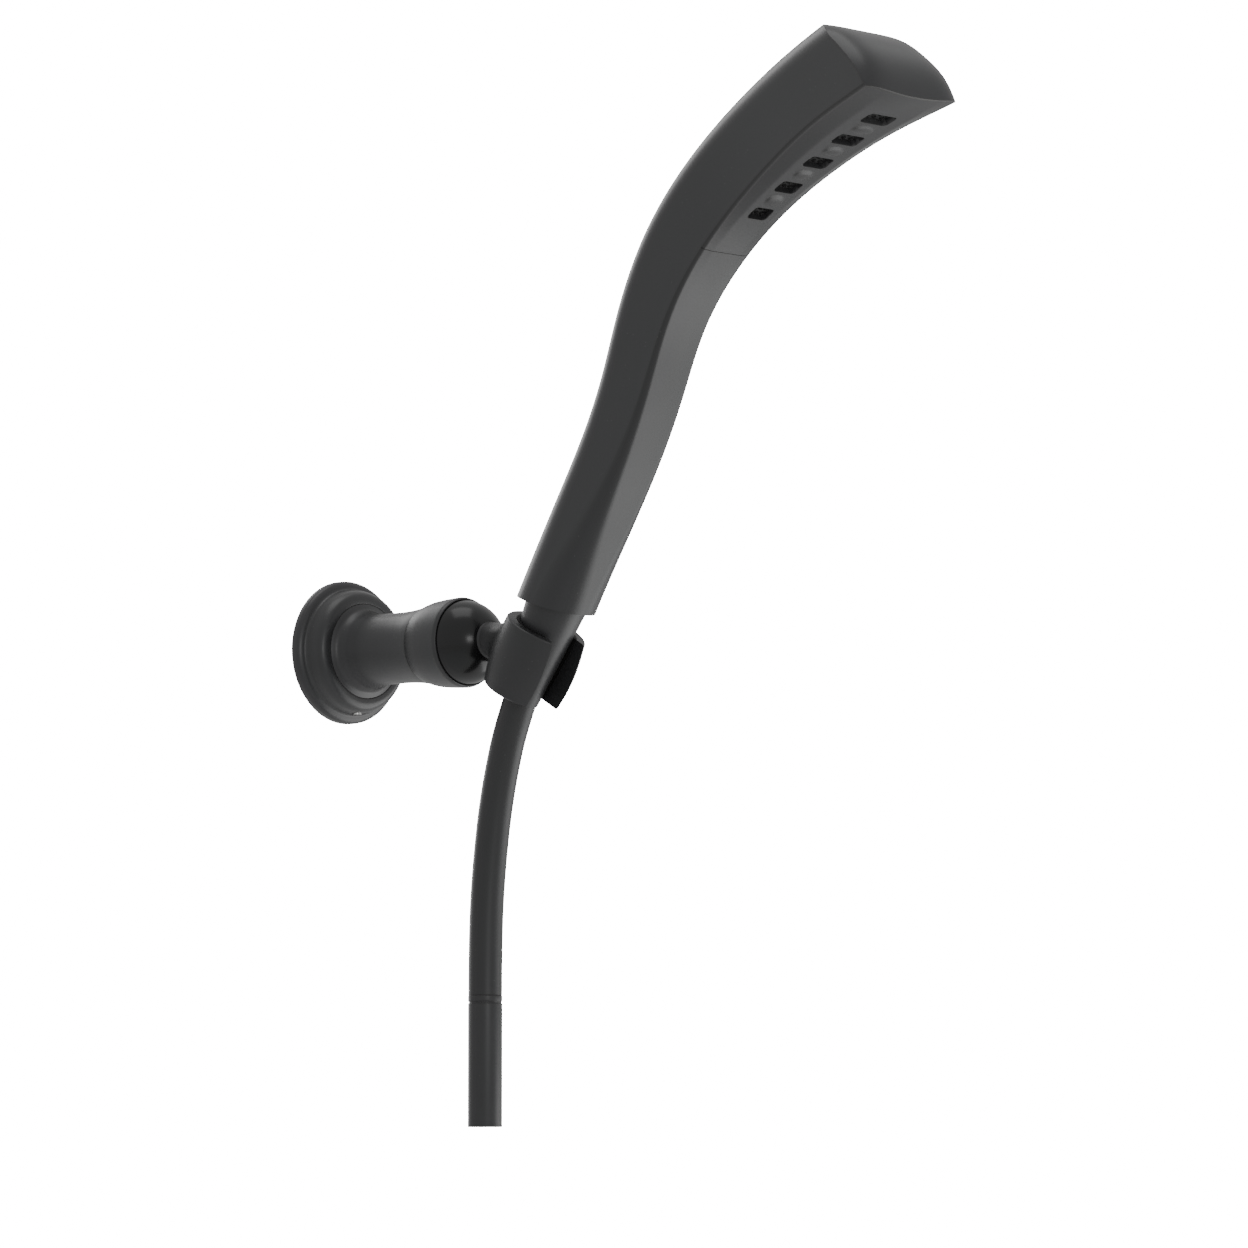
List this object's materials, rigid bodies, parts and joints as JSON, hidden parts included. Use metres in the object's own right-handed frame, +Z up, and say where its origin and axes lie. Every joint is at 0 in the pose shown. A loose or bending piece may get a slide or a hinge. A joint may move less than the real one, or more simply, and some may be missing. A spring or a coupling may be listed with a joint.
{
  "type": "handheld shower head with wall holder",
  "caption": "Curved bar handheld shower head resting in a ball-jointed wall cradle, with a cone nut and a short smooth hose tail",
  "frame": {"origin": "centre of the round wall flange, on the face of the wall", "axes": "+X out of the wall, +Z up, +Y to the left of someone facing the wall; the XZ plane is the plane of symmetry"},
  "size_m": [0.3256, 0.0606, 0.4292],
  "materials": {
    "satin_black": "satin black coated metal, slightly soft highlight",
    "satin_black_plastic": "satin black moulded plastic",
    "dark_socket": "near-black moulded ball",
    "nozzle_rubber": "soft black silicone",
    "hose_skin": "smooth black hose",
    "brass": "machined brass",
    "stainless": "stainless steel",
    "white_plastic": "white acetal",
    "grey_plastic": "grey engineering plastic",
    "seal_rubber": "black sealing rubber"
  },
  "bodies": {
    "wall_arm": {"wall_plate": "stainless", "wall_flange": "satin_black", "flange_gasket": "seal_rubber", "set_screw": "stainless", "arm_tube": "satin_black", "seat_spring": "stainless"},
    "lock_nut": {"lock_nut": "satin_black"},
    "swivel_seat": {"swivel_seat": "white_plastic"},
    "cradle": {"swivel_ball": "dark_socket", "ball_stem": "stainless", "cradle": "satin_black_plastic", "cradle_liner": "seal_rubber"},
    "handset": {"handset_shell": "satin_black", "front_cover": "satin_black_plastic", "spray_panel": "satin_black_plastic", "end_cap": "satin_black", "neck_ring": "grey_plastic", "inlet_connector": "brass", "flow_regulator": "white_plastic", "check_valve_body": "white_plastic", "check_valve_spring": "stainless", "waterway_tube": "grey_plastic", "nozzle_1": "nozzle_rubber", "nozzle_2": "nozzle_rubber", "nozzle_3": "nozzle_rubber", "nozzle_4": "nozzle_rubber", "nozzle_5": "nozzle_rubber", "chamber_gasket": "seal_rubber", "spray_chamber": "grey_plastic"},
    "valve_poppet": {"check_valve_poppet": "grey_plastic"},
    "cone_nut": {"cone_nut": "satin_black_plastic"},
    "hose": {"hose_barb": "brass", "inlet_washer": "seal_rubber", "filter_screen": "stainless", "hose": "hose_skin", "hose_insert": "brass"},
    "end_sleeve": {"end_sleeve": "satin_black_plastic"}
  },
  "joints": [
    {"name": "lock_nut_turn", "type": "hinge", "parent": "wall_arm", "child": "lock_nut", "pos_m": [0.0655, 0, 0], "axis": [1, 0, 0], "range_deg": [-60, 60]},
    {"name": "bracket_roll", "type": "hinge", "parent": "wall_arm", "child": "swivel_seat", "pos_m": [0.0725, 0, 0], "axis": [1, 0, 0], "range_deg": [-40, 40]},
    {"name": "bracket_tilt", "type": "hinge", "parent": "swivel_seat", "child": "cradle", "pos_m": [0.0725, 0, 0], "axis": [0, 1, 0], "range_deg": [-18, 18]},
    {"name": "handset_lift", "type": "slide", "parent": "cradle", "child": "handset", "axis": [0.5, 0, 0.866], "range_m": [0, 0.034]},
    {"name": "valve_poppet_slide", "type": "slide", "parent": "handset", "child": "valve_poppet", "axis": [0.5, 0, 0.866], "range_m": [0, 0.002], "stiffness_N_per_m": 60, "springref_m": -0.001, "deforming": ["check_valve_spring"]},
    {"name": "cone_nut_turn", "type": "hinge", "parent": "handset", "child": "cone_nut", "pos_m": [0.1287, 0, 0.0145], "axis": [0.5, 0, 0.866], "continuous": true},
    {"name": "hose_swivel", "type": "hinge", "parent": "handset", "child": "hose", "pos_m": [0.1287, 0, 0.0145], "axis": [0.5, 0, 0.866], "range_deg": [-12, 12]},
    {"name": "end_sleeve_turn", "type": "hinge", "parent": "hose", "child": "end_sleeve", "pos_m": [0.0862, 0, -0.17], "axis": [0, 0, 1], "continuous": true}
  ]
}
